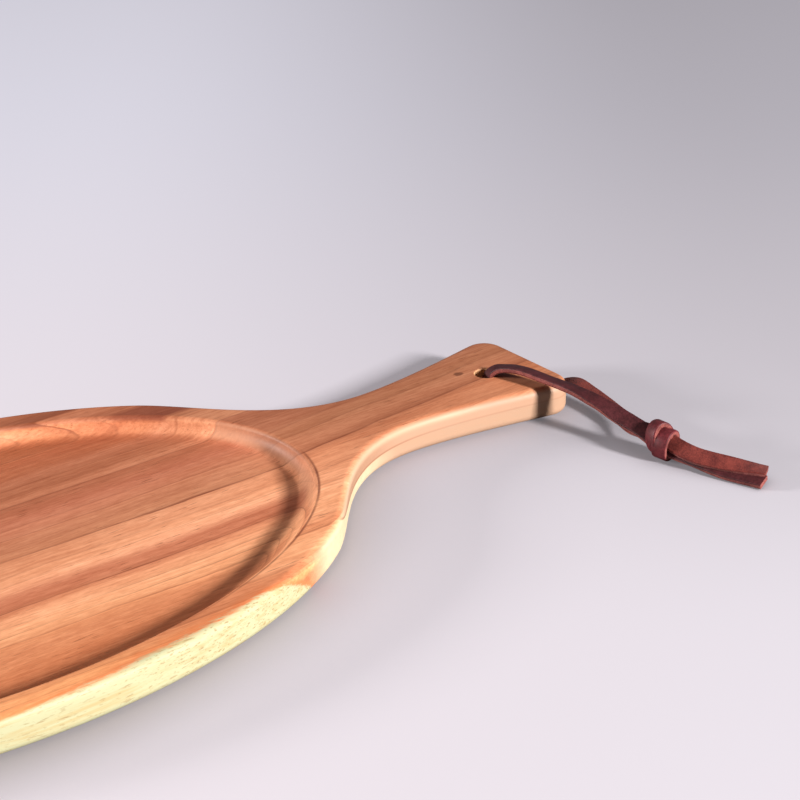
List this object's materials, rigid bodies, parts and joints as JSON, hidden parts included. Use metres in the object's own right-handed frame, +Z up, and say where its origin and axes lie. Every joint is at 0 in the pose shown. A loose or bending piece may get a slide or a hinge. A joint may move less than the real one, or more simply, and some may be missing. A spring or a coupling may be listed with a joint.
{
  "type": "wooden serving tray",
  "caption": "Oval wooden serving tray with a shallow dished floor, a flared handle and a knotted leather hanging thong through the handle.",
  "frame": {"origin": "middle of the board's outline, on the underside that lies on the table", "axes": "+X from the oval toward the handle's end, +Z up out of the dish, Y across the tray"},
  "size_m": [0.4142, 0.203, 0.0195],
  "materials": {
    "cherry_main": "oiled, satin",
    "cherry_far": "oiled, satin",
    "leather": "matt, smooth grain side, suede back"
  },
  "bodies": {
    "board": {"main_stave": "cherry_main", "far_stave": "cherry_far"},
    "thong": {"thong_upper_run": "leather", "thong_lower_run": "leather", "thong_knot": "leather", "thong_tail_upper": "leather", "thong_tail_lower": "leather"}
  },
  "joints": [
    {"name": "thong_swing", "type": "hinge", "parent": "board", "child": "thong", "pos_m": [0.178, 0, 0], "axis": [0, 0, 1], "range_deg": [0, 48]}
  ]
}
